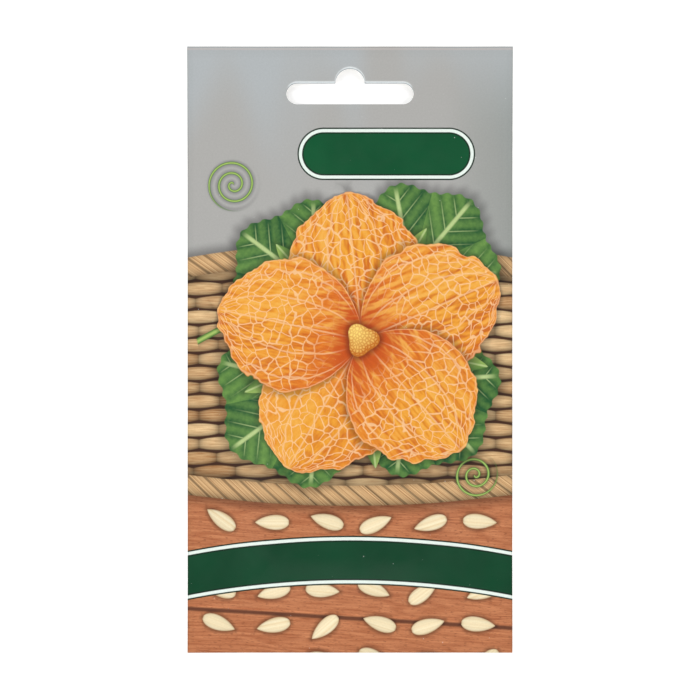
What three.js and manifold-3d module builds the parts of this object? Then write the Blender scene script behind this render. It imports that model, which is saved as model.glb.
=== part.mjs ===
// A flat seed packet lying on its back: a printed front sheet and a plain back sheet, bonded round
// their margins, with melon seeds loose in the pouch between them. A hang slot is punched through
// both sheets near the top. Millimetres, X to the right, Y towards the slot, Z up, and the origin
// on the surface that the packet lies on, under the middle of its outline.

import * as THREE from "three";
import { mergeVertices } from "three/addons/utils/BufferGeometryUtils.js";
import Module from "manifold-3d";

const wasm = await Module();
wasm.setup();

// The packet's outline, and the widths of the margins where the sheets are bonded
const WIDTH = 80.5;
const HEIGHT = 150;
const SIDE_SEAL = 5;
const BOTTOM_SEAL = 7;
const HEADER = 20;

// Each sheet's thickness, and the bond between them
const SHEET = 0.2;
const BOND = 0.1;

// The hang slot: a round-ended bar with a round notch over its middle
const SLOT_WIDTH = 31.6;
const BAR_HEIGHT = 5.5;
const NOTCH_RADIUS = 3.6;
const SLOT_BELOW_TOP = 11.4;
// The back sheet's slot was punched a little lower, so its edge shows through the front one
const BACK_SLOT_DROP = 0.4;

// The pouch: the round of its corners, how far in from the seal it reaches its full height, and
// the room between the sheets where it holds nothing and where it passes over a seed
const POUCH_CORNER = 6;
const RAMP = 17;
const EMPTY_ROOM = 0.6;
const SEED_ROOM = 1.85;
// How far a seed props the front sheet up around itself, along and across the seed
const PROP_ALONG = 12;
const PROP_ACROSS = 10;

// The flat part that the packet rests on. Beyond it the sheets curl up on a large radius
const REST_HALF_WIDTH = 26;
const REST_BOTTOM = -56;
const REST_TOP = 36;
const CURL_RADIUS = 450;

// One seed, and the handful in the packet
const SEED_LENGTH = 10.6;
const SEED_WIDTH = 4.9;
const SEED_THICKNESS = 1.4;
const SEED_COUNT = 24;
const SEED_GAP = 0.1;
const SEED_SPREAD = { halfWidth: 17, bottom: -48, top: 24 };

const POUCH = {
  halfWidth: WIDTH / 2 - SIDE_SEAL,
  bottom: -HEIGHT / 2 + BOTTOM_SEAL,
  top: HEIGHT / 2 - HEADER,
};

// Solids

function solidOf(geometry) {
  const bare = geometry.clone();
  bare.deleteAttribute("normal");
  bare.deleteAttribute("uv");
  const merged = mergeVertices(bare, 1e-4);
  return new wasm.Manifold(
    new wasm.Mesh({
      numProp: 3,
      vertProperties: merged.attributes.position.array,
      triVerts: new Uint32Array(merged.index.array),
    }),
  );
}

function geometryOf(solid) {
  const mesh = solid.getMesh();
  const geometry = new THREE.BufferGeometry();
  geometry.setAttribute("position", new THREE.BufferAttribute(mesh.vertProperties, 3));
  geometry.setIndex(new THREE.BufferAttribute(mesh.triVerts, 1));
  geometry.computeVertexNormals();
  return geometry;
}

// Seeds

// A repeatable draw, so that every build lays the seeds in the same places
function drawFrom(start) {
  let state = start;
  return () => {
    state = (state + 0x6d2b79f5) | 0;
    let mixed = Math.imul(state ^ (state >>> 15), 1 | state);
    mixed = (mixed + Math.imul(mixed ^ (mixed >>> 7), 61 | mixed)) ^ mixed;
    return ((mixed ^ (mixed >>> 14)) >>> 0) / 2 ** 32;
  };
}

// A seed covers three discs in a row along its length
function discsOf(seed) {
  const step = SEED_LENGTH * 0.31;
  return [-step, 0, step].map((along) => ({
    x: seed.x + along * Math.sin(-seed.turn),
    y: seed.y + along * Math.cos(seed.turn),
  }));
}

function clearOf(seed, others) {
  const apart = SEED_WIDTH * 1.12;
  return others.every((other) =>
    discsOf(seed).every((a) => discsOf(other).every((b) => Math.hypot(a.x - b.x, a.y - b.y) > apart)),
  );
}

function scatterSeeds() {
  const draw = drawFrom(7);
  const seeds = [];
  while (seeds.length < SEED_COUNT) {
    const seed = {
      x: (2 * draw() - 1) * SEED_SPREAD.halfWidth,
      // The lower end of the packet holds more of them
      y: SEED_SPREAD.bottom + draw() ** 1.25 * (SEED_SPREAD.top - SEED_SPREAD.bottom),
      turn: draw() * 2 * Math.PI,
      size: 0.95 + 0.1 * draw(),
    };
    if (clearOf(seed, seeds)) seeds.push(seed);
  }
  return seeds;
}

// Half the seed's width at a share of its length from the pointed end
function halfWidthAt(share) {
  const fullest = 0.4206;
  return ((SEED_WIDTH / 2) * share ** 0.8 * Math.sqrt(1 - share)) / fullest;
}

function seedGeometry() {
  const steps = 8;
  const profile = [];
  for (let i = 0; i <= steps; i += 1) {
    const share = (1 - Math.cos((Math.PI * i) / steps)) / 2;
    const onAxis = i === 0 || i === steps;
    profile.push(new THREE.Vector2(onAxis ? 0 : halfWidthAt(share), (share - 0.5) * SEED_LENGTH));
  }
  const geometry = new THREE.LatheGeometry(profile, 8);
  geometry.scale(1, 1, SEED_THICKNESS / SEED_WIDTH);
  return geometry;
}

// Sheets

// How far the sheets curl up from the surface, beyond the flat part that the packet rests on
function lift(x, y) {
  const beyondX = Math.max(Math.abs(x) - REST_HALF_WIDTH, 0);
  const beyondY = Math.max(y - REST_TOP, REST_BOTTOM - y, 0);
  return (beyondX ** 2 + beyondY ** 2) / (2 * CURL_RADIUS);
}

// How far a point lies inside the round-cornered line where the pouch meets the seal
function insidePouch(x, y) {
  const middle = (POUCH.top + POUCH.bottom) / 2;
  const overX = Math.abs(x) - (POUCH.halfWidth - POUCH_CORNER);
  const overY = Math.abs(y - middle) - ((POUCH.top - POUCH.bottom) / 2 - POUCH_CORNER);
  const outer = Math.hypot(Math.max(overX, 0), Math.max(overY, 0));
  return POUCH_CORNER - outer - Math.min(Math.max(overX, overY), 0);
}

// From 0 far from every seed to 1 over one
function propped(x, y, seeds) {
  let unpropped = 1;
  for (const seed of seeds) {
    const along = -(x - seed.x) * Math.sin(seed.turn) + (y - seed.y) * Math.cos(seed.turn);
    const across = (x - seed.x) * Math.cos(seed.turn) + (y - seed.y) * Math.sin(seed.turn);
    unpropped *= 1 - Math.exp(-((along / PROP_ALONG) ** 2) - (across / PROP_ACROSS) ** 2);
  }
  return 1 - unpropped;
}

// The room between the sheets, which leaves the seal smoothly
function room(x, y, seeds) {
  const rise = THREE.MathUtils.smoothstep(insidePouch(x, y), 0, RAMP);
  return BOND + rise * (EMPTY_ROOM + (SEED_ROOM - EMPTY_ROOM) * propped(x, y, seeds));
}

function linesBetween(from, to, count) {
  return Array.from({ length: count }, (_, i) => from + ((to - from) * i) / count);
}

// A thin box whose grid lines follow the seals, bent to a height at each point
function bentSheet(linesX, linesY, height) {
  const columns = linesX.length - 1;
  const rows = linesY.length - 1;
  const geometry = new THREE.BoxGeometry(WIDTH, HEIGHT, SHEET, columns, rows, 1);
  const place = geometry.attributes.position;
  for (let i = 0; i < place.count; i += 1) {
    const x = linesX[Math.round((place.getX(i) / WIDTH + 0.5) * columns)];
    const y = linesY[Math.round((place.getY(i) / HEIGHT + 0.5) * rows)];
    place.setXYZ(i, x, y, place.getZ(i) + SHEET / 2 + height(x, y));
  }
  return geometry;
}

function slotShape() {
  const end = BAR_HEIGHT / 2;
  const reach = SLOT_WIDTH / 2 - end;
  const shape = new THREE.Shape();
  shape.moveTo(-reach, -end);
  shape.lineTo(reach, -end);
  shape.absarc(reach, 0, end, -Math.PI / 2, Math.PI / 2, false);
  shape.lineTo(NOTCH_RADIUS, end);
  shape.absarc(0, end, NOTCH_RADIUS, 0, Math.PI, false);
  shape.lineTo(-reach, end);
  shape.absarc(-reach, 0, end, Math.PI / 2, Math.PI * 1.5, false);
  return shape;
}

function punched(sheet, drop) {
  const punch = new THREE.ExtrudeGeometry(slotShape(), {
    depth: 20,
    bevelEnabled: false,
    curveSegments: 10,
  });
  punch.translate(0, HEIGHT / 2 - SLOT_BELOW_TOP - drop, -10);
  return geometryOf(solidOf(sheet).subtract(solidOf(punch)));
}

function frontSheet(seeds) {
  const linesX = [
    -WIDTH / 2,
    ...linesBetween(-POUCH.halfWidth, POUCH.halfWidth, 24),
    POUCH.halfWidth,
    WIDTH / 2,
  ];
  const linesY = [
    ...linesBetween(-HEIGHT / 2, POUCH.bottom, 2),
    ...linesBetween(POUCH.bottom, POUCH.top, 41),
    ...linesBetween(POUCH.top, HEIGHT / 2, 5),
    HEIGHT / 2,
  ];
  const height = (x, y) => lift(x, y) + SHEET + room(x, y, seeds);
  return punched(bentSheet(linesX, linesY, height), 0);
}

function backSheet() {
  const linesX = [
    ...linesBetween(-WIDTH / 2, -REST_HALF_WIDTH, 3),
    ...linesBetween(-REST_HALF_WIDTH, REST_HALF_WIDTH, 4),
    ...linesBetween(REST_HALF_WIDTH, WIDTH / 2, 3),
    WIDTH / 2,
  ];
  const linesY = [
    ...linesBetween(-HEIGHT / 2, REST_BOTTOM, 4),
    ...linesBetween(REST_BOTTOM, REST_TOP, 7),
    ...linesBetween(REST_TOP, HEIGHT / 2, 8),
    HEIGHT / 2,
  ];
  return punched(bentSheet(linesX, linesY, lift), BACK_SLOT_DROP);
}

// The packet put together

const packet = new THREE.Group();
const seeds = scatterSeeds();

const printedPaper = new THREE.MeshStandardMaterial({ color: 0xa9acab, roughness: 0.35, metalness: 0 });
const plainPaper = new THREE.MeshStandardMaterial({ color: 0xeeeae0, roughness: 0.6, metalness: 0 });
const seedCoat = new THREE.MeshStandardMaterial({ color: 0xe6cf9c, roughness: 0.55, metalness: 0 });

const front = new THREE.Mesh(frontSheet(seeds), printedPaper);
front.name = "front_sheet";
packet.add(front);

const back = new THREE.Mesh(backSheet(), plainPaper);
back.name = "back_sheet";
packet.add(back);

seeds.forEach((seed, i) => {
  const mesh = new THREE.Mesh(seedGeometry(), seedCoat);
  mesh.name = `seed_${String(i + 1).padStart(2, "0")}`;
  mesh.scale.setScalar(seed.size);
  mesh.rotation.z = seed.turn;
  mesh.position.set(seed.x, seed.y, SHEET + SEED_GAP + (SEED_THICKNESS * seed.size) / 2);
  packet.add(mesh);
});

export default packet;
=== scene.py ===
import math

import bpy
import numpy as np
from mathutils import Matrix, Vector, noise


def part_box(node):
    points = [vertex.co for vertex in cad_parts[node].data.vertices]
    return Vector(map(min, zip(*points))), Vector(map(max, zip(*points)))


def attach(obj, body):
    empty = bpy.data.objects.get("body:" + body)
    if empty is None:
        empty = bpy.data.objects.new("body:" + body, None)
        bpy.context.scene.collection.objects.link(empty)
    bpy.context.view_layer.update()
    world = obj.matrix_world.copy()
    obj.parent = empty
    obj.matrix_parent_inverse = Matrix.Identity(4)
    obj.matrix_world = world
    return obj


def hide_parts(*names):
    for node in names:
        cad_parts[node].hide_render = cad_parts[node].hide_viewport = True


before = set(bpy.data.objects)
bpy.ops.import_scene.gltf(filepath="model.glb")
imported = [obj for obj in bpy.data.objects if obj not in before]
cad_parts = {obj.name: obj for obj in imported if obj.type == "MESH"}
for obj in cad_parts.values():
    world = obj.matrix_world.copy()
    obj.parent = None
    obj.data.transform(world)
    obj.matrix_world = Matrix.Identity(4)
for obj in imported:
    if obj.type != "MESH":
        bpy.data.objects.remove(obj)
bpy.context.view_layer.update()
bpy.ops.object.select_all(action="DESELECT")

# The table, the light and the camera
# The packet lies on its back on a round white sheet that is lit a little from below, so that no
# shadow shows round it. Soft boxes on all four sides light it evenly. The camera looks straight down.
MM = 0.001
TABLE_RADIUS = 0.8
TABLE_SIDES = 96
TABLE_WHITE = 0.94
TABLE_GLOW = 0.21
BOX_ACROSS = 0.55
BOX_AWAY = 0.95
BOX_UP = 0.62
BOX_WATTS = {"left": 4.75, "right": 3.9, "far": 4.3, "near": 4.0}
BOX_SIDES = {"left": (-1, 0), "right": (1, 0), "far": (0, 1), "near": (0, -1)}
SKY_LOW = 1.0
SKY_HIGH = 0.16
SKY_MIRRORED = 0.4
SKY_WHITE_UP_TO = 0.25
SKY_DIM_FROM = 0.8
FRAME_ACROSS = 173.4 * MM
FRONT_LEVEL = 1.0 * MM
LENS = 100
SENSOR = 36
NEAREST = 10 * MM

bpy.ops.mesh.primitive_circle_add(vertices=TABLE_SIDES, radius=TABLE_RADIUS, fill_type="NGON")
table = bpy.context.object
table.name = "table"
table_paper = bpy.data.materials.new("table_paper")
table_paper.use_nodes = True
shader = table_paper.node_tree.nodes["Principled BSDF"]
shader.inputs["Base Color"].default_value = (TABLE_WHITE, TABLE_WHITE, TABLE_WHITE, 1)
shader.inputs["Roughness"].default_value = 0.8
shader.inputs["Specular IOR Level"].default_value = 0.0
shader.inputs["Emission Color"].default_value = (1, 1, 1, 1)
shader.inputs["Emission Strength"].default_value = TABLE_GLOW
table.data.materials.append(table_paper)

for side, (toward_x, toward_y) in BOX_SIDES.items():
    place = Vector((toward_x * BOX_AWAY, toward_y * BOX_AWAY, BOX_UP))
    bpy.ops.object.light_add(type="AREA", location=place)
    soft_box = bpy.context.object
    soft_box.name = f"soft_box_{side}"
    soft_box.rotation_euler = place.to_track_quat("Z", "Y").to_euler()
    soft_box.data.size = BOX_ACROSS
    soft_box.data.energy = BOX_WATTS[side]
    soft_box.visible_camera = False

# The room is white round the table and dim overhead, so that the gloss of the front stays clear. What
# the gloss mirrors of the white is dimmed too, or the print would drown in it when seen from the side.
room_light = bpy.data.worlds.new("room_light")
bpy.context.scene.world = room_light
room_light.use_nodes = True
sky = room_light.node_tree
sky_from = sky.nodes.new("ShaderNodeTexCoord")
sky_split = sky.nodes.new("ShaderNodeSeparateXYZ")
sky_range = sky.nodes.new("ShaderNodeMapRange")
sky_mix = sky.nodes.new("ShaderNodeMix")
sky_mix.data_type = "RGBA"
sky_range.interpolation_type = "SMOOTHSTEP"
sky_range.inputs["From Min"].default_value = SKY_WHITE_UP_TO
sky_range.inputs["From Max"].default_value = SKY_DIM_FROM
sky_ray = sky.nodes.new("ShaderNodeLightPath")
sky_low = sky.nodes.new("ShaderNodeMix")
sky_low.inputs[2].default_value = SKY_LOW
sky_low.inputs[3].default_value = SKY_MIRRORED
sky.links.new(sky_ray.outputs["Is Glossy Ray"], sky_low.inputs[0])
sky.links.new(sky_low.outputs[0], sky_mix.inputs[6])
sky_mix.inputs[7].default_value = (SKY_HIGH, SKY_HIGH, SKY_HIGH, 1)
sky.links.new(sky_from.outputs["Generated"], sky_split.inputs[0])
sky.links.new(sky_split.outputs["Z"], sky_range.inputs["Value"])
sky.links.new(sky_range.outputs[0], sky_mix.inputs[0])
sky.links.new(sky_mix.outputs[2], sky.nodes["Background"].inputs["Color"])

camera_height = FRAME_ACROSS * LENS / SENSOR
bpy.ops.object.camera_add(location=(0, 0, FRONT_LEVEL + camera_height), rotation=(0, 0, 0))
camera = bpy.context.object
camera.data.lens = LENS
camera.data.sensor_width = SENSOR
camera.data.clip_start = NEAREST
bpy.context.scene.camera = camera
bpy.context.scene.view_settings.view_transform = "Standard"
bpy.context.scene.view_settings.look = "None"

# The seeds
# About a gram of melon seeds lies loose in the pouch: flat drops with a smooth, dry, cream coat
# that is streaked along its length.
SEED_LENGTH = 10.6 * MM
SEED_WIDTH = 4.9 * MM
SEED_THICKNESS = 1.4 * MM
SEED_FULLEST = 0.4206
SEED_ROUGHNESS = 0.5
STREAKS_AROUND = 60
STREAKS_ALONG = 5
SEED_NODES = sorted(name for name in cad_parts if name.startswith("seed_"))


def linear(red, green, blue):
    """A colour given in screen values from 0 to 255, as the renderer's own values."""
    shares = [part / 255 for part in (red, green, blue)]
    return [s / 12.92 if s < 0.04045 else ((s + 0.055) / 1.055) ** 2.4 for s in shares] + [1.0]


def new_finish(name):
    """A new material, its node tree and its shader."""
    finish = bpy.data.materials.new(name)
    finish.use_nodes = True
    return finish, finish.node_tree, finish.node_tree.nodes["Principled BSDF"]


def seed_lie(name):
    """How a seed of the frame lies: its middle, the turn of its pointed end from -Y, and its size."""
    points = np.array([point.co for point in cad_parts[name].data.vertices])
    low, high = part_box(name)
    middle = (low + high) / 2
    flat = points[:, :2] - points[:, :2].mean(0)
    along = np.linalg.eigh(flat.T @ flat)[1][:, 1]
    reach = flat @ along
    across = np.abs(flat @ np.array([-along[1], along[0]]))
    if across[reach > 0].mean() < across[reach < 0].mean():
        along = -along
    size = (reach.max() - reach.min()) / SEED_LENGTH
    return middle, math.atan2(-along[0], along[1]), size


def seed_body():
    """One seed at the origin, pointed towards -Y, from a ball that is drawn out and flattened."""
    bpy.ops.mesh.primitive_uv_sphere_add(segments=28, ring_count=18, rotation=(-math.pi / 2, 0, 0))
    seed = bpy.context.object
    bpy.ops.object.transform_apply(rotation=True)
    for point in seed.data.vertices:
        share = min(max((point.co.y + 1) / 2, 0), 1)
        ball = math.sqrt(max(1 - point.co.y**2, 1e-9))
        half = share**0.8 * math.sqrt(1 - share) / SEED_FULLEST / ball
        point.co.x *= half * SEED_WIDTH / 2
        point.co.z *= half * SEED_THICKNESS / 2
        point.co.y = (share - 0.5) * SEED_LENGTH
    bpy.ops.object.shade_smooth()
    return seed


SEED_TAN = linear(212, 180, 124)
SEED_CREAM = linear(240, 222, 178)

seed_coat, tree, shader = new_finish("seed_skin")
shader.inputs["Roughness"].default_value = SEED_ROUGHNESS
uv = tree.nodes.new("ShaderNodeUVMap")
stretch = tree.nodes.new("ShaderNodeMapping")
stretch.inputs["Scale"].default_value = (STREAKS_AROUND, STREAKS_ALONG, 1)
streaks = tree.nodes.new("ShaderNodeTexNoise")
streaks.noise_dimensions = "2D"
streaks.inputs["Scale"].default_value = 1.0
streaks.inputs["Detail"].default_value = 3.0
coat = tree.nodes.new("ShaderNodeValToRGB")
coat.color_ramp.elements[0].position = 0.3
coat.color_ramp.elements[0].color = SEED_TAN
coat.color_ramp.elements[1].position = 0.7
coat.color_ramp.elements[1].color = SEED_CREAM
fine = tree.nodes.new("ShaderNodeBump")
fine.inputs["Strength"].default_value = 0.25
fine.inputs["Distance"].default_value = 0.05 * MM
tree.links.new(uv.outputs[0], stretch.inputs[0])
tree.links.new(stretch.outputs[0], streaks.inputs["Vector"])
tree.links.new(streaks.outputs["Fac"], coat.inputs[0])
tree.links.new(streaks.outputs["Fac"], fine.inputs["Height"])
tree.links.new(coat.outputs[0], shader.inputs["Base Color"])
tree.links.new(fine.outputs[0], shader.inputs["Normal"])

seed_form = seed_body()
lies = {}
for node_name in SEED_NODES:
    middle, turn, size = seed_lie(node_name)
    lies[node_name] = (middle, turn)
    piece = bpy.data.objects.new(f"loose_{node_name}", seed_form.data.copy())
    bpy.context.collection.objects.link(piece)
    turned = Matrix.Rotation(turn, 4, "Z") @ Matrix.Scale(size, 4)
    piece.data.transform(Matrix.Translation(middle) @ turned)
    piece.data.materials.append(seed_coat)
    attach(piece, "root")
    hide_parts(node_name)
bpy.data.objects.remove(seed_form)

# The two sheets' shape
# Both are thin paper with a film on it, cut 80.5 by 150 mm, bonded along their margins and punched
# with a hang slot. The ends and sides curl up a little, and the free edges wander.
low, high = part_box("front_sheet")
WIDTH = high.x - low.x
HEIGHT = high.y - low.y
SHEET = 0.2 * MM
SIDE_SEAL = 5 * MM
BOTTOM_SEAL = 7 * MM
HEADER = 20 * MM
POUCH_HALF_WIDTH = WIDTH / 2 - SIDE_SEAL
POUCH_BOTTOM = -HEIGHT / 2 + BOTTOM_SEAL
POUCH_TOP = HEIGHT / 2 - HEADER
POUCH_CORNER = 6 * MM
REST_HALF_WIDTH = 26 * MM
REST_BOTTOM = -56 * MM
REST_TOP = 36 * MM
CURL_RADIUS = 450 * MM
WANDER_HEIGHT = 0.16 * MM
WANDER_LENGTH = 17 * MM
WANDER_LAYER = 5.3
BAR_HEIGHT = 5.5 * MM
SLOT_WIDTH = 31.6 * MM
NOTCH_RADIUS = 3.6 * MM
SLOT_Y = HEIGHT / 2 - 11.4 * MM
BACK_SLOT_DROP = 0.4 * MM
PUNCH_SIDES = 96
PUNCH_DEPTH = 10 * MM
SMOOTH_UNDER = math.radians(30)


def uneven(x, y, length, layer):
    """Smooth, repeatable unevenness from about -0.5 to 0.5, with humps of a given length."""
    places = zip(x.ravel() / length, y.ravel() / length)
    return np.array([noise.noise(Vector((a, b, layer))) for a, b in places]).reshape(x.shape)


def lift(x, y):
    """How far the sheets curl up off the table beyond the flat part that they rest on."""
    beyond_x = np.maximum(np.abs(x) - REST_HALF_WIDTH, 0)
    beyond_y = np.maximum(np.maximum(y - REST_TOP, REST_BOTTOM - y), 0)
    curl = (beyond_x**2 + beyond_y**2) / (2 * CURL_RADIUS)
    wander = WANDER_HEIGHT * uneven(x, y, WANDER_LENGTH, WANDER_LAYER)
    return curl + wander * np.minimum(curl / WANDER_HEIGHT, 1)


def inside_pouch(x, y):
    """How far a point lies inside the round-cornered line where the pouch meets the bond."""
    middle = (POUCH_TOP + POUCH_BOTTOM) / 2
    over_x = np.abs(x) - (POUCH_HALF_WIDTH - POUCH_CORNER)
    over_y = np.abs(y - middle) - ((POUCH_TOP - POUCH_BOTTOM) / 2 - POUCH_CORNER)
    outer = np.hypot(np.maximum(over_x, 0), np.maximum(over_y, 0))
    return POUCH_CORNER - outer - np.minimum(np.maximum(over_x, over_y), 0)


def punch(sheet, slot_y):
    """Cuts the hang slot: a round-ended bar, and a round notch over its middle."""
    across = SLOT_WIDTH / 2 - BAR_HEIGHT / 2
    for radius, rise, reach in ((BAR_HEIGHT / 2, 0, across), (NOTCH_RADIUS, BAR_HEIGHT / 2, 0)):
        bpy.ops.mesh.primitive_cylinder_add(
            vertices=PUNCH_SIDES,
            radius=radius,
            depth=PUNCH_DEPTH,
            location=(0, slot_y + rise, 0),
            rotation=(0, 0, math.pi / PUNCH_SIDES),
        )
        die = bpy.context.object
        bpy.ops.object.transform_apply(location=True, rotation=True)
        for point in die.data.vertices:
            point.co.x += math.copysign(reach, point.co.x)
        cut = sheet.modifiers.new("cut", "BOOLEAN")
        cut.object = die
        cut.operation = "DIFFERENCE"
        cut.solver = "MANIFOLD"
        bpy.context.view_layer.objects.active = sheet
        bpy.ops.object.modifier_apply(modifier="cut")
        bpy.data.objects.remove(die)


def cut_sheet(name, pitch, slot_y):
    """A flat sheet of the packet's outline, with its underside at height 0 and its slot punched."""
    bpy.ops.mesh.primitive_grid_add(
        x_subdivisions=round(WIDTH / pitch), y_subdivisions=round(HEIGHT / pitch), size=1
    )
    sheet = bpy.context.object
    sheet.name = name
    bpy.ops.transform.resize(value=(WIDTH, HEIGHT, 1))
    bpy.ops.object.transform_apply(scale=True)
    bpy.ops.object.modifier_add(type="SOLIDIFY")
    sheet.modifiers["Solidify"].thickness = SHEET
    sheet.modifiers["Solidify"].offset = 1
    bpy.ops.object.modifier_apply(modifier="Solidify")
    punch(sheet, slot_y)
    sheet.data.materials.clear()
    return sheet


def bend(sheet, height):
    """Lifts each point of a sheet by the height that a formula gives for its place."""
    count = len(sheet.data.vertices)
    places = np.empty(count * 3)
    sheet.data.vertices.foreach_get("co", places)
    places = places.reshape(count, 3)
    places[:, 2] += height(places[:, 0], places[:, 1])
    sheet.data.vertices.foreach_set("co", places.ravel())
    sheet.data.update()


def face_with(sheet, outer, inner, core, up):
    """Gives a sheet's outer face, inner face and cut edges their materials, and smooths the faces."""
    for part in (outer, inner, core):
        sheet.data.materials.append(part)
    for face in sheet.data.polygons:
        outward = face.normal.z * up
        face.material_index = 0 if outward > 0.5 else 1 if outward < -0.5 else 2
    bpy.context.view_layer.objects.active = sheet
    sheet.select_set(True)
    bpy.ops.object.shade_smooth_by_angle(angle=SMOOTH_UNDER)
    sheet.select_set(False)


# The front sheet
# Paper with a satin film over its print. It is bonded to the back sheet along its margins, and
# rises from the bond as a low pillow over the seeds, with small folds that run in from the sides.
BOND = 0.03 * MM
RAMP = 17 * MM
EMPTY_ROOM = 0.6 * MM
SEED_ROOM = 1.85 * MM
PROP_ALONG = 12 * MM
PROP_ACROSS = 10 * MM
PUCKER_HEIGHT = 0.06 * MM
PUCKER_LENGTH = 11 * MM
PUCKER_DRIFT = 19 * MM
PUCKER_FROM = 12 * MM
PUCKER_OVER = 18 * MM
DENT_HEIGHT = 0.12 * MM
DENT_LENGTH = 11 * MM
DENT_LAYER = 1.7
FRONT_PITCH = 0.8 * MM


def room(x, y):
    """The room between the sheets: none at the bond, most over the seeds."""
    share = np.clip(inside_pouch(x, y) / RAMP, 0, 1)
    rise = share * share * (3 - 2 * share)
    unpropped = np.ones_like(x)
    for middle, turn in lies.values():
        along = -(x - middle.x) * math.sin(turn) + (y - middle.y) * math.cos(turn)
        across = (x - middle.x) * math.cos(turn) + (y - middle.y) * math.sin(turn)
        unpropped *= 1 - np.exp(-((along / PROP_ALONG) ** 2) - (across / PROP_ACROSS) ** 2)
    dents = DENT_HEIGHT * uneven(x, y, DENT_LENGTH, DENT_LAYER)
    return BOND + rise * (SEED_ROOM - (SEED_ROOM - EMPTY_ROOM) * unpropped + dents)


def pucker(x, y):
    """Small folds that run in from the bonded margins, where the flat paper is drawn into a pillow."""
    inside = np.clip(inside_pouch(x, y) / RAMP, 0, 1)
    wave = np.sin(2 * math.pi * y / PUCKER_LENGTH + 1.7 * np.sin(y / PUCKER_DRIFT) + 2 * np.sign(x))
    near_sides = np.clip((np.abs(x) - PUCKER_FROM) / PUCKER_OVER, 0, 1)
    return PUCKER_HEIGHT * wave * near_sides * np.sin(math.pi * inside) * (1 - inside)


front = cut_sheet("front_panel", FRONT_PITCH, SLOT_Y)
bend(front, lambda x, y: lift(x, y) + SHEET + room(x, y) + pucker(x, y))

# The inks of the print
# The drawing is node arithmetic in millimetres. It is laid down motif by motif, from the wall behind
# to the labels in front, and each motif goes over the colour under it.
BLACK = (0.0, 0.0, 0.0, 1.0)
REACH = 2 * HEIGHT / MM
HALF_WIDTH_MM = WIDTH / MM / 2
HALF_HEIGHT_MM = HEIGHT / MM / 2


class Ink:
    """A value that varies over the sheet: a node's output, times a number, plus a number."""

    def __init__(self, socket, times=1.0, plus=0.0):
        self.socket = socket
        self.times = times
        self.plus = plus

    def __add__(self, other):
        if not isinstance(other, Ink):
            return Ink(self.socket, self.times, self.plus + other)
        share = other.times / self.times
        total = calc("MULTIPLY_ADD", Ink(other.socket), share, Ink(self.socket))
        return Ink(total.socket, self.times, self.plus + other.plus)

    def __mul__(self, other):
        if not isinstance(other, Ink):
            return Ink(self.socket, self.times * other, self.plus * other)
        if self.plus == 0 and other.plus == 0:
            return calc("MULTIPLY", Ink(self.socket), Ink(other.socket)) * (self.times * other.times)
        return calc("MULTIPLY", self, other)

    def __neg__(self):
        return self * -1

    def __sub__(self, other):
        return self + -other

    def __rsub__(self, other):
        return -self + other

    def __truediv__(self, other):
        return calc("DIVIDE", self, other) if isinstance(other, Ink) else self * (1 / other)

    def __pow__(self, other):
        return calc("POWER", self, other)

    def __abs__(self):
        middle = Ink(self.socket) + self.plus / self.times
        return calc("ABSOLUTE", middle) * abs(self.times)

    __radd__ = __add__
    __rmul__ = __mul__


def settled(value):
    """A value with its two numbers worked into a node of its own, where they change it."""
    if not isinstance(value, Ink) or (value.times == 1 and value.plus == 0):
        return value
    return calc("MULTIPLY_ADD", Ink(value.socket), value.times, value.plus)


def feed(node, index, value):
    """Gives a node's input a number, a colour or another node's output."""
    value = settled(value)
    if isinstance(value, Ink):
        tree.links.new(value.socket, node.inputs[index])
    else:
        node.inputs[index].default_value = value


def calc(operation, *values):
    """A sum of the Math node's own kinds."""
    values = [settled(value) for value in values]
    node = tree.nodes.new("ShaderNodeMath")
    node.operation = operation
    for index, value in enumerate(values):
        feed(node, index, value)
    return Ink(node.outputs[0])


def soft(value, start, end):
    """0 up to start and 1 from end on, with a soft step between."""
    node = tree.nodes.new("ShaderNodeMapRange")
    node.interpolation_type = "SMOOTHSTEP"
    limits = [(limit - value.plus) / value.times for limit in (start, end)]
    for index, part in enumerate((Ink(value.socket), *limits)):
        feed(node, index, part)
    return Ink(node.outputs[0])


def held(value, least, most):
    """A value held between two limits."""
    value = settled(value)
    node = tree.nodes.new("ShaderNodeClamp")
    for index, part in enumerate((value, least, most)):
        feed(node, index, part)
    return Ink(node.outputs[0])


def blend(under, over, share):
    """The under colour, covered by the over colour by a share that is held between 0 and 1."""
    share = settled(share)
    node = tree.nodes.new("ShaderNodeMix")
    node.data_type = "RGBA"
    for index, part in ((0, share), (6, under), (7, over)):
        feed(node, index, part)
    return Ink(node.outputs[2])


def lit(colour, brightness):
    """A colour made brighter or darker by a factor, as a blend with black by any share."""
    shaded = blend(colour, BLACK, 1 - brightness)
    shaded.socket.node.clamp_factor = False
    return shaded


def map_place(centre=(0, 0), turn=0, pitch=1.0, shift=0.0):
    """A place on the sheet, turned, and scaled so that a unit each way is a pitch in millimetres."""
    pitch_along, pitch_across = pitch if isinstance(pitch, tuple) else (pitch, pitch)
    angle = math.radians(turn)
    node = tree.nodes.new("ShaderNodeMapping")
    node.vector_type = "TEXTURE"
    tree.links.new(sheet_place, node.inputs["Vector"])
    shift_x = centre[0] - shift * pitch_along * math.cos(angle)
    shift_y = centre[1] - shift * pitch_along * math.sin(angle)
    node.inputs["Location"].default_value = (shift_x * MM, shift_y * MM, 0)
    node.inputs["Rotation"].default_value = (0, 0, angle)
    node.inputs["Scale"].default_value = (pitch_along * MM, pitch_across * MM, 1)
    return node.outputs[0]


def point(x, y):
    """A worked-out place for a pattern to read."""
    x, y = settled(x), settled(y)
    node = tree.nodes.new("ShaderNodeCombineXYZ")
    feed(node, 0, x)
    feed(node, 1, y)
    return node.outputs[0]


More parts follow.
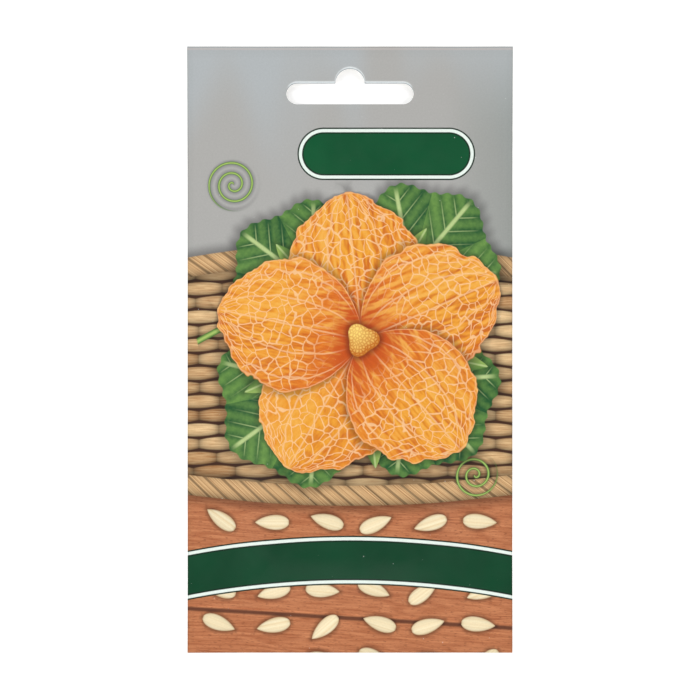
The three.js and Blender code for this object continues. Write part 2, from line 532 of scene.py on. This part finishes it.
def grain(place, detail=2.0):
    """Smooth random humps from 0 to 1, one to a unit."""
    node = tree.nodes.new("ShaderNodeTexNoise")
    node.noise_dimensions = "2D"
    tree.links.new(place, node.inputs["Vector"])
    node.inputs["Scale"].default_value = 1.0
    node.inputs["Detail"].default_value = detail
    return Ink(node.outputs["Fac"])


def streak(value, detail=2.0):
    """Smooth random lines from 0 to 1, one to a unit."""
    value = settled(value)
    node = tree.nodes.new("ShaderNodeTexNoise")
    node.noise_dimensions = "1D"
    feed(node, "W", value)
    node.inputs["Scale"].default_value = 1.0
    node.inputs["Detail"].default_value = detail
    return Ink(node.outputs["Fac"])


def net(place, feature="DISTANCE_TO_EDGE"):
    """The distance to the nearest line of a net, one mesh to a unit, or to a mesh's middle."""
    node = tree.nodes.new("ShaderNodeTexVoronoi")
    node.voronoi_dimensions = "2D"
    node.feature = feature
    tree.links.new(place, node.inputs["Vector"])
    node.inputs["Scale"].default_value = 1.0
    return Ink(node.outputs["Distance"])


def lot(first, second=0.0):
    """A random share for each pair of whole numbers."""
    drawn = settled(first * 17.31 + second * 5.77)
    node = tree.nodes.new("ShaderNodeTexWhiteNoise")
    node.noise_dimensions = "1D"
    feed(node, "W", drawn)
    return Ink(node.outputs["Value"])


def across_sheet(turn):
    """The distance in millimetres from the sheet's middle, towards one side or towards the top."""
    node = tree.nodes.new("ShaderNodeTexGradient")
    tree.links.new(map_place(turn=turn, pitch=REACH, shift=0.5), node.inputs[0])
    return Ink(node.outputs["Fac"], REACH, -REACH / 2)


def placed(centre, turn):
    """Distances along and across a figure that is turned by an angle about its centre."""
    angle = math.radians(turn)
    local_x, local_y = x - centre[0], y - centre[1]
    along = local_x * math.cos(angle) + local_y * math.sin(angle)
    across = local_y * math.cos(angle) - local_x * math.sin(angle)
    return along, across


def far_from(along, across):
    """The distance from a figure's centre."""
    return calc("SQRT", along * along + across * across)


def beside_slot(slot_y):
    """The distance outwards from the edge of the hang slot."""
    middle = slot_y / MM
    end = BAR_HEIGHT / 2 / MM
    past_end = calc("MAXIMUM", abs(x) - (SLOT_WIDTH / 2 / MM - end), 0.0)
    bar = far_from(past_end, y - middle) - end
    notch = far_from(x, y - (middle + end)) - NOTCH_RADIUS / MM
    return calc("MINIMUM", bar, notch)


def open_sheet():
    """The place on the sheet, in the material that is being made, and its two distances."""
    global sheet_place
    sheet_place = tree.nodes.new("ShaderNodeTexCoord").outputs["Object"]
    return across_sheet(0), across_sheet(90)


# The wall at the top
WALL_COOL = linear(175, 180, 182)
WALL_WARM = linear(172, 171, 168)
WALL_DEEP = linear(147, 151, 147)


def wall():
    """A silver-grey wall out of focus, in soft upright bands, cooler at the top and darker right."""
    bands = grain(map_place(pitch=(22, 110), shift=3.1), 1.0)
    colour = blend(WALL_WARM, WALL_COOL, soft(bands + y * 0.009, 0.9, 1.16))
    shade = soft(x + bands * 60, 34, 76) * soft(y, 82, 52)
    return blend(colour, WALL_DEEP, shade * 0.8)


# The basket
STRAW_PALE = linear(232, 198, 148)
STRAW_DEEP = linear(168, 117, 70)
STRAW_GAP = linear(66, 40, 27)
ROW = 3.5
STRAND = 10.5
BASKET_TOP = 24.0
BASKET_BOTTOM = -36.0
TOP_SAG = -0.0022
BOTTOM_SAG = 0.0016
RIM = 2.6


def bowed(sag):
    """The height on the page, on lines that sag a little in the middle."""
    return y - x * x * sag


def weave(level):
    """Plain weave: rows of straw strands that dive under and come up, each its own shade."""
    rows = level / ROW
    row = calc("FLOOR", rows)
    across = rows - row - 0.5
    columns = x / STRAND + row * 0.5 + lot(row) * 0.2
    column = calc("FLOOR", columns)
    along = (columns - column - 0.5) * 2
    bulge = along * along
    half = 0.5 - bulge * 0.16
    fibre = grain(map_place(pitch=(4.5, 0.31)), 3.0)
    strand = blend(STRAW_DEEP, STRAW_PALE, lot(column, row) * 0.7 + fibre * 1.3 - 0.45)
    roundness = across / half - 0.2
    strand = lit(strand, (1.04 - roundness * roundness * 0.55) * (1 - bulge * bulge * 0.6))
    return blend(STRAW_GAP, strand, soft(half - abs(across), 0.0, 0.09))


def rolled_rim(under, distance):
    """A thick twisted roll along an edge of the basket, with a soft shadow beside it."""
    near = abs(distance)
    under = lit(under, 1 - soft(near, RIM + 3.2, RIM - 0.5) * 0.55)
    twist = x * 0.226 + distance * 0.262
    turn = abs(twist - calc("ROUND", twist)) * 2
    roll = blend(STRAW_DEEP, STRAW_PALE, streak(twist * 11, 3.0) * 2.0 - 0.5)
    roundness = distance / RIM - 0.25
    roll = lit(roll, (1.04 - roundness * roundness * 0.42) * (1 - soft(turn, 0.66, 1.0) * 0.6))
    return blend(under, roll, soft(near, RIM, RIM - 0.25))


# The wooden table top
WOOD_PALE = linear(206, 136, 93)
WOOD_DEEP = linear(160, 89, 54)
WOOD_PORE = linear(128, 70, 46)
WOOD_JOINT = linear(84, 46, 32)
WOOD_TURN = -3.5
JOINT_LEVEL = -66.5


def wood():
    """Brown boards that run across the page, with long wavy grain, short dark pores and one joint."""
    level = y + x * 0.06
    wide = grain(map_place(turn=WOOD_TURN, pitch=(55, 6.2)), 3.0)
    rings = calc("SINE", wide * 53 + level * 2.2)
    streaks = grain(map_place(turn=WOOD_TURN, pitch=(8.5, 0.38)), 3.0)
    colour = blend(WOOD_DEEP, WOOD_PALE, rings * 0.17 + streaks * 1.1 - 0.03)
    pores = grain(map_place(turn=WOOD_TURN, pitch=(1.35, 0.17)), 1.0)
    colour = blend(colour, WOOD_PORE, soft(pores, 0.62, 0.74) * 0.7)
    joint = level - JOINT_LEVEL
    colour = lit(colour, 1 + soft(abs(joint - 0.7), 0.6, 0.1) * 0.16)
    return blend(colour, WOOD_JOINT, soft(abs(joint), 0.8, 0.2) * 0.85)


# The seeds in the picture
DRAWN_LENGTH = 8.6
DRAWN_HALF_WIDTH = 1.95
DRAWN_PALE = linear(249, 236, 202)
DRAWN_TAN = linear(232, 206, 156)
DRAWN_EDGE = linear(178, 136, 88)
SEED_CELL = (13.0, 8.5)
SEED_ROWS_FROM = 4.15
SEED_ROW_LAST = -5.5


def drawn_seeds(under):
    """Cream seeds strewn on the wood, one to a cell of a grid, each moved and turned by chance."""
    columns, rows = x / SEED_CELL[0], (y - SEED_ROWS_FROM) / SEED_CELL[1]
    column, row = calc("FLOOR", columns), calc("FLOOR", rows)
    chance, other = lot(column, row), lot(row + 31, column)
    local_x = (columns - column - 0.5) * SEED_CELL[0] + chance * 3 - 1.5
    local_y = (rows - row - 0.5) * SEED_CELL[1] + other * 1.5 - 0.75
    angle = settled(other * 1.5 - 0.75 + calc("ROUND", chance) * math.pi)
    cosine, sine = calc("COSINE", angle), calc("SINE", angle)
    along = local_x * cosine + local_y * sine
    across = local_y * cosine - local_x * sine
    share = held(along / DRAWN_LENGTH + 0.5, 0.001, 0.999)
    half = share**0.8 * (1 - share) ** 0.5 * (DRAWN_HALF_WIDTH / SEED_FULLEST)
    inside = calc("MINIMUM", half - abs(across), DRAWN_LENGTH / 2 - abs(along))
    there = soft(chance, 0.12, 0.14) * soft(row, SEED_ROW_LAST + 0.1, SEED_ROW_LAST - 0.1)
    under = lit(under, 1 - soft(inside, -1.1, 0.1) * there * 0.5)
    body = blend(DRAWN_PALE, DRAWN_TAN, streak(across * 1.6 + chance * 40, 2.0) * 1.2 - 0.2)
    body = blend(DRAWN_EDGE, body, soft(inside, -0.2, 0.6))
    body = lit(body, soft(inside, 0.4, 1.5) * 0.1 + other * 0.1 + 0.86)
    return blend(under, body, soft(inside, 0.0, 0.2) * there)


# The leaves
LEAF_DEEP = linear(34, 84, 44)
LEAF_FRESH = linear(118, 160, 78)
LEAF_VEIN = linear(190, 210, 142)
LOBE = math.radians(50)


def leaf(under, foot, turn, size, light):
    """A broad leaf with five shallow lobes, toothed edges, and veins that fan out from its foot."""
    along, across = placed(foot, turn)
    away = far_from(along, across)
    angle = calc("ARCTAN2", across, along)
    teeth = calc("COSINE", angle * 47)
    lobes = calc("COSINE", angle * (2 * math.pi / LOBE))
    spread = calc("MAXIMUM", calc("COSINE", angle * 0.5), 0.0) ** 0.8
    edge = (spread * 0.74 + 0.26) * (lobes * 0.055 + teeth * 0.011 + 0.934) * size
    inside = edge - away
    under = lit(under, 1 - soft(inside, -3.4, 0.5) * 0.5)
    sector = angle / LOBE
    off = (sector - calc("ROUND", sector)) * LOBE
    gap = abs(calc("SINE", off) * away)
    ribs = (calc("COSINE", off) * away - gap * 0.9) / 4.4 + light
    between = abs(ribs - calc("ROUND", ribs)) * 2
    mesh = grain(map_place(foot, turn, pitch=1.1), 3.0)
    tone = soft(between, 1.0, 0.1) * 0.38 + mesh * 0.5 + off * 0.42 + (light * 0.3 - 0.22)
    blade = blend(LEAF_DEEP, LEAF_FRESH, tone)
    side_veins = soft(between, 0.86, 0.98) * soft(gap, 9, 1) * 0.55
    veins = calc("MAXIMUM", side_veins, soft(gap, 0.75, 0.2) * 0.9)
    blade = blend(blade, LEAF_VEIN, veins * soft(inside, 0.1, 3.5))
    return blend(under, blade, soft(inside, 0.0, 0.3))


# The stems and tendrils
STEM_DEEP = linear(62, 110, 48)
STEM_PALE = linear(168, 196, 104)
STEM_HALF = 0.9
TENDRIL_HALF = 0.42


def tendril(under, centre, turn, radius, pitch):
    """A thin stem that winds into a flat spiral and tapers off at its outer end."""
    along, across = placed(centre, turn)
    away = far_from(along, across)
    coil = (away - calc("ARCTAN2", across, along) * (pitch / (2 * math.pi))) / pitch
    within = soft(away, radius, radius - 1.4)
    inside = within * TENDRIL_HALF - abs(coil - calc("ROUND", coil)) * pitch
    under = lit(under, 1 - soft(inside, -0.9, 0.1) * within * 0.35)
    stem = blend(STEM_DEEP, STEM_PALE, soft(inside, 0.1, TENDRIL_HALF))
    return blend(under, stem, soft(inside, 0.0, 0.2) * within)


def stalk(under, foot, turn, reach, wave):
    """A stem that runs along in a lazy wave from one place to another."""
    along, across = placed(foot, turn)
    inside = STEM_HALF - abs(across - calc("SINE", along * (2 * math.pi / reach)) * wave)
    within = soft(along, 0.0, 0.3) * soft(along, reach, reach - 0.3)
    under = lit(under, 1 - soft(inside, -1.2, 0.1) * within * 0.35)
    body = blend(STEM_DEEP, STEM_PALE, soft(inside, 0.1, STEM_HALF))
    return blend(under, body, soft(inside, 0.0, 0.25) * within)


# The blossom
FLOWER = (3.0, 2.5)
LIGHT_FROM = 125
PETAL_TURNS = (96, 240, 24, 168, 312)
PETAL_LENGTH = 37.0
PETAL_HALF_WIDTH = 16.5
PETAL_FULLEST = 0.374
PETAL_THROAT = linear(196, 78, 24)
PETAL_EDGE = linear(222, 116, 36)
PETAL_MIDDLE = linear(236, 159, 48)
PETAL_SHADE = linear(196, 88, 26)
PETAL_LIGHT = linear(244, 184, 86)
PETAL_NET = linear(249, 206, 158)
SEPAL_LENGTH = 32.0
SEPAL_HALF_WIDTH = 5.5
POLLEN_DEEP = linear(196, 112, 34)
POLLEN_PALE = linear(255, 222, 122)


def petal(under, turn):
    """One ruffled, pointed petal with a crease along its middle, long ribs and a pale net of veins."""
    along, across = placed(FLOWER, turn)
    share = held(along / PETAL_LENGTH, 0.001, 0.999)
    ruffle = grain(map_place(FLOWER, turn, pitch=5.0, shift=turn), 2.0) - 0.5
    shape = share**0.7 * (1 - share) ** 0.72 * (PETAL_HALF_WIDTH / PETAL_FULLEST)
    half = shape + ruffle * share * (PETAL_HALF_WIDTH * 0.32)
    ends = PETAL_LENGTH / 2 - abs(along - PETAL_LENGTH / 2)
    inside = calc("MINIMUM", half - abs(across), ends * 0.7)
    under = lit(under, 1 - soft(inside, -2.4, 0.3) * 0.45)
    q = held(across / (half + 0.01), -1, 1)
    colour = blend(PETAL_THROAT, PETAL_EDGE, soft(share, 0.04, 0.3))
    colour = blend(colour, PETAL_MIDDLE, soft(share, 0.16, 0.6) * (1 - q * q * 0.55))
    # Folds are light where they turn towards the light: two looks at the same humps, a little apart
    toward = math.radians(LIGHT_FROM - turn)
    folds = grain(map_place(FLOWER, turn, (7.0, 2.2), turn), 2.0)
    moved = (FLOWER[0] - 0.6 * math.cos(toward), FLOWER[1] - 0.6 * math.sin(toward))
    shade = (folds - grain(map_place(moved, turn, (7.0, 2.2), turn), 2.0)) * 1.7 + ruffle * 0.35
    shade = settled(shade + soft(q, -0.3, 0.3) * (0.24 * math.sin(toward)) - 0.12 * math.sin(toward))
    colour = blend(colour, PETAL_SHADE, calc("MINIMUM", shade * -2.4, 0.75))
    colour = blend(colour, PETAL_LIGHT, calc("MINIMUM", shade * 2.2, 0.7))
    fan = q * 2.5
    rib = abs(fan - calc("ROUND", fan)) * half * 0.4
    mesh = net(point(along * 0.4 + ruffle * 1.1 + turn, q * (PETAL_HALF_WIDTH / 2.7) + ruffle))
    lines = soft(mesh + ruffle * 0.1, 0.088, 0.03) * soft(share, 0.14, 0.42)
    lines = calc("MAXIMUM", lines, soft(rib, 0.3, 0.1) * 0.75)
    lines = lines * soft(inside, 0.0, 1.5) * soft(share, 0.04, 0.2)
    rolled = soft(abs(inside - 0.35), 0.3, 0.05) * 0.45
    colour = blend(colour, PETAL_NET, calc("MAXIMUM", lines * 0.72, rolled))
    return blend(under, colour, soft(inside, 0.0, 0.25))


def sepals(under, turn):
    """Five narrow green points, a fifth of a turn apart, that show between the petals."""
    along, across = placed(FLOWER, turn)
    away = far_from(along, across)
    sector = calc("ARCTAN2", across, along) / math.radians(72)
    off = (sector - calc("ROUND", sector)) * math.radians(72)
    onward, beside = calc("COSINE", off) * away, calc("SINE", off) * away
    share = held(onward / SEPAL_LENGTH, 0.001, 0.999)
    half = share**0.4 * (1 - share) ** 0.8 * (SEPAL_HALF_WIDTH * 2)
    inside = calc("MINIMUM", half - abs(beside), SEPAL_LENGTH - onward)
    under = lit(under, 1 - soft(inside, -1.6, 0.3) * 0.4)
    colour = blend(STEM_DEEP, STEM_PALE, beside / half * 0.35 + 0.45)
    colour = blend(colour, LEAF_VEIN, soft(abs(beside), 0.35, 0.1) * 0.7)
    return blend(under, colour, soft(inside, 0.0, 0.25))


def heart(under):
    """The throat of the blossom and the knobbed, pollen-covered column that stands in it."""
    along, across = placed(FLOWER, LIGHT_FROM)
    away = far_from(along, across)
    under = blend(under, PETAL_THROAT, soft(away, 10.0, 3.5) * 0.7)
    inside = calc("COSINE", calc("ARCTAN2", across, along) * 3) * 0.6 + 3.9 - away
    under = lit(under, 1 - soft(inside, -1.8, 0.3) * 0.55)
    pollen = net(map_place(FLOWER, pitch=0.77))
    bright = soft(pollen, 0.0, 0.4) * 0.45 + along * 0.11 + soft(inside, 0.0, 2.0) * 0.3
    return blend(under, blend(POLLEN_DEEP, POLLEN_PALE, bright), soft(inside, 0.0, 0.3))


# The plain labels
BAND_GREENS = (linear(2, 57, 32), linear(4, 73, 43))
PILL_GREENS = (linear(0, 71, 39), linear(2, 88, 49))
GREEN_LINE = linear(14, 40, 26)
KEYLINE = linear(232, 243, 235)
BAND_MIDDLE = -52.0
BAND_HALF = 6.2
BAND_SAG = -0.0024
PILL_CENTRE = (9.0, 48.6)
PILL_HALF = 15.5
PILL_ROUND = 6.6
OUTLINE_TO = 0.44
KEYLINE_TO = 1.22
DARK_TO = 1.6
CRISP = 0.08


def label(under, inside, greens):
    """A bare green field with a pale line just inside its edge, and a thin dark one outside that."""
    field = blend(greens[0], greens[1], grain(map_place(pitch=14), 2.0))
    field = blend(field, GREEN_LINE, soft(inside, DARK_TO + 0.2, DARK_TO - 0.2))
    field = blend(field, KEYLINE, soft(inside, KEYLINE_TO + CRISP, KEYLINE_TO - CRISP))
    field = blend(field, GREEN_LINE, soft(inside, OUTLINE_TO + CRISP, OUTLINE_TO - CRISP))
    return blend(under, field, soft(inside, 0.0, 2 * CRISP))


# The whole print, its wear, painted shade along its edges and the film over it
LINE_BELOW_TOP = 2.4
STRIP_BELOW_TOP = 0.6
STRIP = linear(196, 187, 184)
TORN = linear(226, 231, 233)
TORN_WIDTH = 0.2
DUST = linear(226, 230, 226)
DUST_CELL = 7.0
DUST_RADIUS = 0.16
FILM_ROUGHNESS = 0.34
FILM_UNEVEN = 0.16
FILM_SHINE = 0.4
FILM_RIPPLE = 0.006


def worn_and_edge_shaded(colour):
    """The print's fine grain, painted shade along its edges, a faint line and strip at the top, and
    specks of dust.
    """
    # The punch tore the print a little along the upper edge of the slot, and the white shows
    torn = soft(beside_slot(SLOT_Y), TORN_WIDTH + 0.1, TORN_WIDTH - 0.1)
    colour = blend(colour, TORN, torn * soft(y, SLOT_Y / MM + 1.0, SLOT_Y / MM + 2.4) * 0.7)
    edge = calc("MINIMUM", HALF_WIDTH_MM - abs(x), HALF_HEIGHT_MM - abs(y))
    line = HALF_HEIGHT_MM - LINE_BELOW_TOP
    strip = abs(y - (HALF_HEIGHT_MM - STRIP_BELOW_TOP))
    colour = blend(colour, STRIP, soft(strip, 0.35, 0.1) * 0.7)
    # Painted shade: the print is darkened towards the sheet's edges, most in the outer half millimetre
    tone = grain(map_place(pitch=0.44), 1.0) * 0.1 + soft(edge, 0.45, 0.05) * -0.15
    tone = tone - soft(edge, 1.9, 1.1) * 0.025 - soft(y, line - 0.3, line) * 0.02 + 0.95
    colour = lit(colour, tone)
    size = grain(map_place(pitch=5.0), 1.0) * 3 - 1.4
    speck = soft(net(map_place(pitch=DUST_CELL), "F1") - size * (DUST_RADIUS / DUST_CELL), 0.006, -0.006)
    return blend(colour, DUST, speck * 0.45)


def front_print():
    """The whole of the front's drawing, from the wall behind to the labels in front."""
    colour = wall()
    top = settled(bowed(TOP_SAG) - BASKET_TOP)
    bottom = settled(bowed(BOTTOM_SAG) - BASKET_BOTTOM)
    colour = blend(colour, weave(bowed(-0.0004)), soft(top, 0.1, -0.1))
    colour = blend(colour, wood(), soft(bottom, 0.1, -0.1))
    colour = drawn_seeds(colour)
    colour = rolled_rim(colour, top)
    colour = rolled_rim(colour, bottom)
    colour = stalk(colour, (-38, 2), 12, 60, 3.0)
    colour = tendril(colour, (-29, 41), 40, 7.2, 2.5)
    colour = tendril(colour, (31, -31), 200, 6.4, 2.3)
    colour = leaf(colour, (-8, 15), 143, 24, 0.2)
    colour = leaf(colour, (15, 19), 50, 24, 0.45)
    colour = leaf(colour, (14, -8), -46, 25, 0.1)
    colour = leaf(colour, (-8, -9), 216, 27, 0.5)
    colour = sepals(colour, 132)
    for turn in PETAL_TURNS:
        colour = petal(colour, turn)
    colour = heart(colour)
    colour = label(colour, BAND_HALF - abs(bowed(BAND_SAG) - BAND_MIDDLE), BAND_GREENS)
    pill_x = calc("MAXIMUM", abs(x - PILL_CENTRE[0]) - PILL_HALF, 0.0)
    pill = PILL_ROUND - far_from(pill_x, y - PILL_CENTRE[1])
    return worn_and_edge_shaded(label(colour, pill, PILL_GREENS))


def raise_by(height):
    """Fine relief that is too small for the mesh, of a height in millimetres."""
    height = settled(height)
    bump = tree.nodes.new("ShaderNodeBump")
    bump.inputs["Strength"].default_value = 1.0
    bump.inputs["Distance"].default_value = MM
    feed(bump, "Height", height)
    tree.links.new(bump.outputs[0], shader.inputs["Normal"])


printed_film, tree, shader = new_finish("printed_film")
x, y = open_sheet()
feed(shader, "Base Color", front_print())
feed(shader, "Roughness", grain(map_place(pitch=3.3), 3.0) * FILM_UNEVEN + FILM_ROUGHNESS)
shader.inputs["Specular IOR Level"].default_value = FILM_SHINE
raise_by(grain(map_place(pitch=0.9), 2.0) * FILM_RIPPLE)

# The bare paper: white on the cut edges, and a cool white inside, where it has its sealing coat. A thin
# grey line of painted shade runs round the edge of the back sheet's slot.
CUT_WHITE = linear(248, 248, 245)
CUT_DULL = linear(233, 232, 228)
LINING_PALE = linear(240, 246, 248)
LINING_DULL = linear(228, 236, 238)
LINING_SHADE_LINE = linear(166, 172, 177)
SHADE_LINE_WIDTH = 0.22


def mottled(white, dull):
    """The colour of bare paper, mottled by its fibres, which raise it a little too."""
    fibres = grain(map_place(pitch=(0.33, 0.8)), 4.0)
    raise_by(fibres * 0.012)
    return blend(dull, white, soft(fibres, 0.3, 0.65))


cut_paper, tree, shader = new_finish("cut_paper")
x, y = open_sheet()
feed(shader, "Base Color", mottled(CUT_WHITE, CUT_DULL))
shader.inputs["Roughness"].default_value = 0.75

lining_paper, tree, shader = new_finish("lining_paper")
x, y = open_sheet()
# Painted shade: a thin grey line along the edge of the back sheet's slot
slot_shade = soft(beside_slot(SLOT_Y - BACK_SLOT_DROP), SHADE_LINE_WIDTH + 0.06, SHADE_LINE_WIDTH - 0.06) * 0.9
feed(shader, "Base Color", blend(mottled(LINING_PALE, LINING_DULL), LINING_SHADE_LINE, slot_shade))
shader.inputs["Roughness"].default_value = 0.6

face_with(front, printed_film, lining_paper, cut_paper, 1)
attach(front, "root")
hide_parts("front_sheet")

# The back sheet
# Uncoated pale paper, bonded to the front all round and punched a little lower, so that its white
# edge shows along the top of the slot. It lies flat on the table and curls up with the front.
BACK_PALE = linear(240, 237, 229)
BACK_DULL = linear(229, 225, 216)
BACK_FLECK = linear(196, 188, 172)
BACK_PITCH = 1.6 * MM

back = cut_sheet("back_panel", BACK_PITCH, SLOT_Y - BACK_SLOT_DROP)
bend(back, lift)

back_paper, tree, shader = new_finish("back_paper")
x, y = open_sheet()
clouds = grain(map_place(pitch=2.6), 4.0)
fibres = grain(map_place(pitch=(0.45, 1.0)), 4.0)
flecks = net(map_place(pitch=(2.0, 5.0)), "F1")
colour = blend(BACK_DULL, BACK_PALE, soft(clouds * 0.4 + fibres * 0.6, 0.3, 0.66))
feed(shader, "Base Color", blend(colour, BACK_FLECK, soft(flecks, 0.07, 0.03) * 0.5))
feed(shader, "Roughness", fibres * 0.2 + 0.5)
raise_by(fibres * 0.015)

face_with(back, back_paper, lining_paper, cut_paper, -1)
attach(back, "root")
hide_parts("back_sheet")
